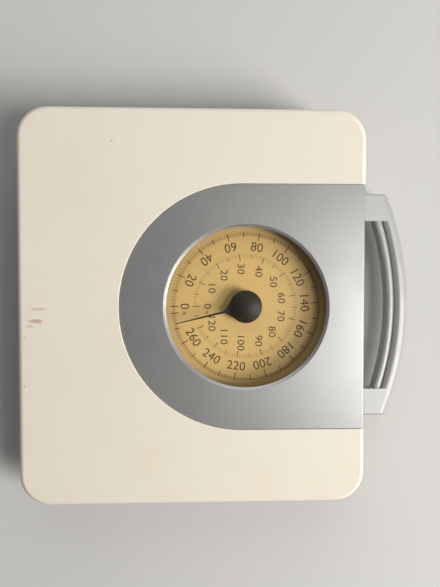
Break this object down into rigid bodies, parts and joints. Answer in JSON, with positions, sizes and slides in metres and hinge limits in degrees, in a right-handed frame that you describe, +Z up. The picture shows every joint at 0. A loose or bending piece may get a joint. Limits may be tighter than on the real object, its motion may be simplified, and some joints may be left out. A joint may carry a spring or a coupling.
{
  "type": "bathroom scale",
  "caption": "Flat mechanical bathroom scale with a standing platform, a round dial and turning pointer under a clear lens, lever works inside and a carry handle.",
  "frame": {"origin": "on the floor, under the middle of the outline with the handle", "axes": "+Z up, +Y from the user towards the carry handle, +X to the user's right"},
  "size_m": [0.33, 0.3372, 0.056],
  "materials": {
    "cream_enamel": "glossy cream stove enamel",
    "silver_panel": "silver lacquered plastic",
    "silver_handle": "silver lacquered plastic",
    "clear_lens": "clear moulded plastic",
    "seal_rubber": "matt black",
    "dark_plastic": "moulded black",
    "dial_face": "yellowed print on white lacquer",
    "pointer_black": "satin black",
    "base_paint": "dark grey paint",
    "foot_rubber": "moulded black",
    "brass": "turned",
    "guide_plastic": "natural white moulding",
    "spring_steel": "drawn wire",
    "zinc_steel": "zinc plated pressing"
  },
  "bodies": {
    "base": {"base_pan": "base_paint", "bracket_rivets": "zinc_steel", "crank_bracket": "zinc_steel", "crank_pin": "zinc_steel", "dial_plate": "dial_face", "dial_rivets": "zinc_steel", "floor_rivets": "zinc_steel", "foot_front_left": "foot_rubber", "foot_front_right": "foot_rubber", "foot_rear_left": "foot_rubber", "foot_rear_right": "foot_rubber", "fulcrum_post_front_left": "zinc_steel", "fulcrum_post_front_right": "zinc_steel", "fulcrum_post_rear_left": "zinc_steel", "fulcrum_post_rear_right": "zinc_steel", "guide_rivets": "zinc_steel", "handle": "silver_handle", "handle_screws": "zinc_steel", "lower_bush": "brass", "main_spring": "spring_steel", "movement_pillars": "zinc_steel", "movement_plate": "zinc_steel", "pillar_screws": "zinc_steel", "rack_guide": "guide_plastic", "return_spring": "spring_steel", "spring_bracket": "zinc_steel", "upper_bush": "brass"},
    "platform": {"dial_surround": "silver_panel", "lens": "clear_lens", "lens_gasket": "seal_rubber", "lens_ring": "dark_plastic", "platform_bearing_front_left": "zinc_steel", "platform_bearing_front_right": "zinc_steel", "platform_bearing_rear_left": "zinc_steel", "platform_bearing_rear_right": "zinc_steel", "platform_cover": "cream_enamel", "platform_stiffener_1": "zinc_steel", "platform_stiffener_2": "zinc_steel", "push_nuts": "zinc_steel"},
    "long_lever": {"long_lever": "zinc_steel", "long_lever_pins": "zinc_steel"},
    "short_lever_left": {"short_lever_left": "zinc_steel", "short_lever_left_pins": "zinc_steel"},
    "short_lever_right": {"short_lever_right": "zinc_steel", "short_lever_right_pins": "zinc_steel"},
    "bell_crank": {"bell_crank": "zinc_steel"},
    "rack": {"rack": "brass"},
    "pointer": {"dial_shaft": "zinc_steel", "pinion": "brass", "pointer": "pointer_black", "pointer_cap": "pointer_black"},
    "zero_wheel": {"adjusting_screw": "zinc_steel", "zero_wheel": "dark_plastic"},
    "spring_hanger": {"spring_hanger": "zinc_steel"}
  },
  "joints": [
    {"name": "platform_press", "type": "slide", "parent": "base", "child": "platform", "axis": [0, 0, -1], "range_m": [0, 0.00067001], "stiffness_N_per_m": 1750000, "springref_m": -0.00003},
    {"name": "long_lever_tilt", "type": "hinge", "parent": "base", "child": "long_lever", "pos_m": [0, -0.1321, 0.024], "axis": [-1, 0, 0], "range_deg": [0, 2.4], "deforming": ["main_spring"]},
    {"name": "short_lever_left_tilt", "type": "hinge", "parent": "base", "child": "short_lever_left", "pos_m": [-0.13, 0.0799, 0.024], "axis": [1, 0, 0], "range_deg": [0, 2.4]},
    {"name": "short_lever_right_tilt", "type": "hinge", "parent": "base", "child": "short_lever_right", "pos_m": [0.13, 0.0799, 0.024], "axis": [1, 0, 0], "range_deg": [0, 2.4]},
    {"name": "crank_swing", "type": "hinge", "parent": "base", "child": "bell_crank", "pos_m": [-0.008, 0.0839, 0.018], "axis": [-1, 0, 0], "range_deg": [0, 50]},
    {"name": "rack_slide", "type": "slide", "parent": "base", "child": "rack", "axis": [0, 1, 0], "range_m": [0, 0.01187], "deforming": ["return_spring"]},
    {"name": "pointer_spin", "type": "hinge", "parent": "base", "child": "pointer", "pos_m": [0, 0.0204, 0.04389], "axis": [0, 0, -1], "range_deg": [0, 340]},
    {"name": "zero_wheel_turn", "type": "hinge", "parent": "base", "child": "zero_wheel", "pos_m": [0.027, 0.1059, 0.017], "axis": [0, 0, 1], "range_deg": [-720, 720]},
    {"name": "hanger_lift", "type": "slide", "parent": "base", "child": "spring_hanger", "axis": [0, 0, 1], "range_m": [-0.0014, 0.0014], "deforming": ["main_spring"]}
  ],
  "couplings": [
    {"joint": "long_lever_tilt", "follows": "platform_press", "rad_per_m": 62.518},
    {"joint": "short_lever_left_tilt", "follows": "platform_press", "rad_per_m": 62.518},
    {"joint": "short_lever_right_tilt", "follows": "platform_press", "rad_per_m": 62.518},
    {"joint": "crank_swing", "follows": "platform_press", "rad_per_m": 1302.5},
    {"joint": "rack_slide", "follows": "platform_press", "ratio": 17.713},
    {"joint": "pointer_spin", "follows": "platform_press", "rad_per_m": 8856.7},
    {"joint": "zero_wheel_turn", "follows": "hanger_lift", "rad_per_m": 8976}
  ]
}
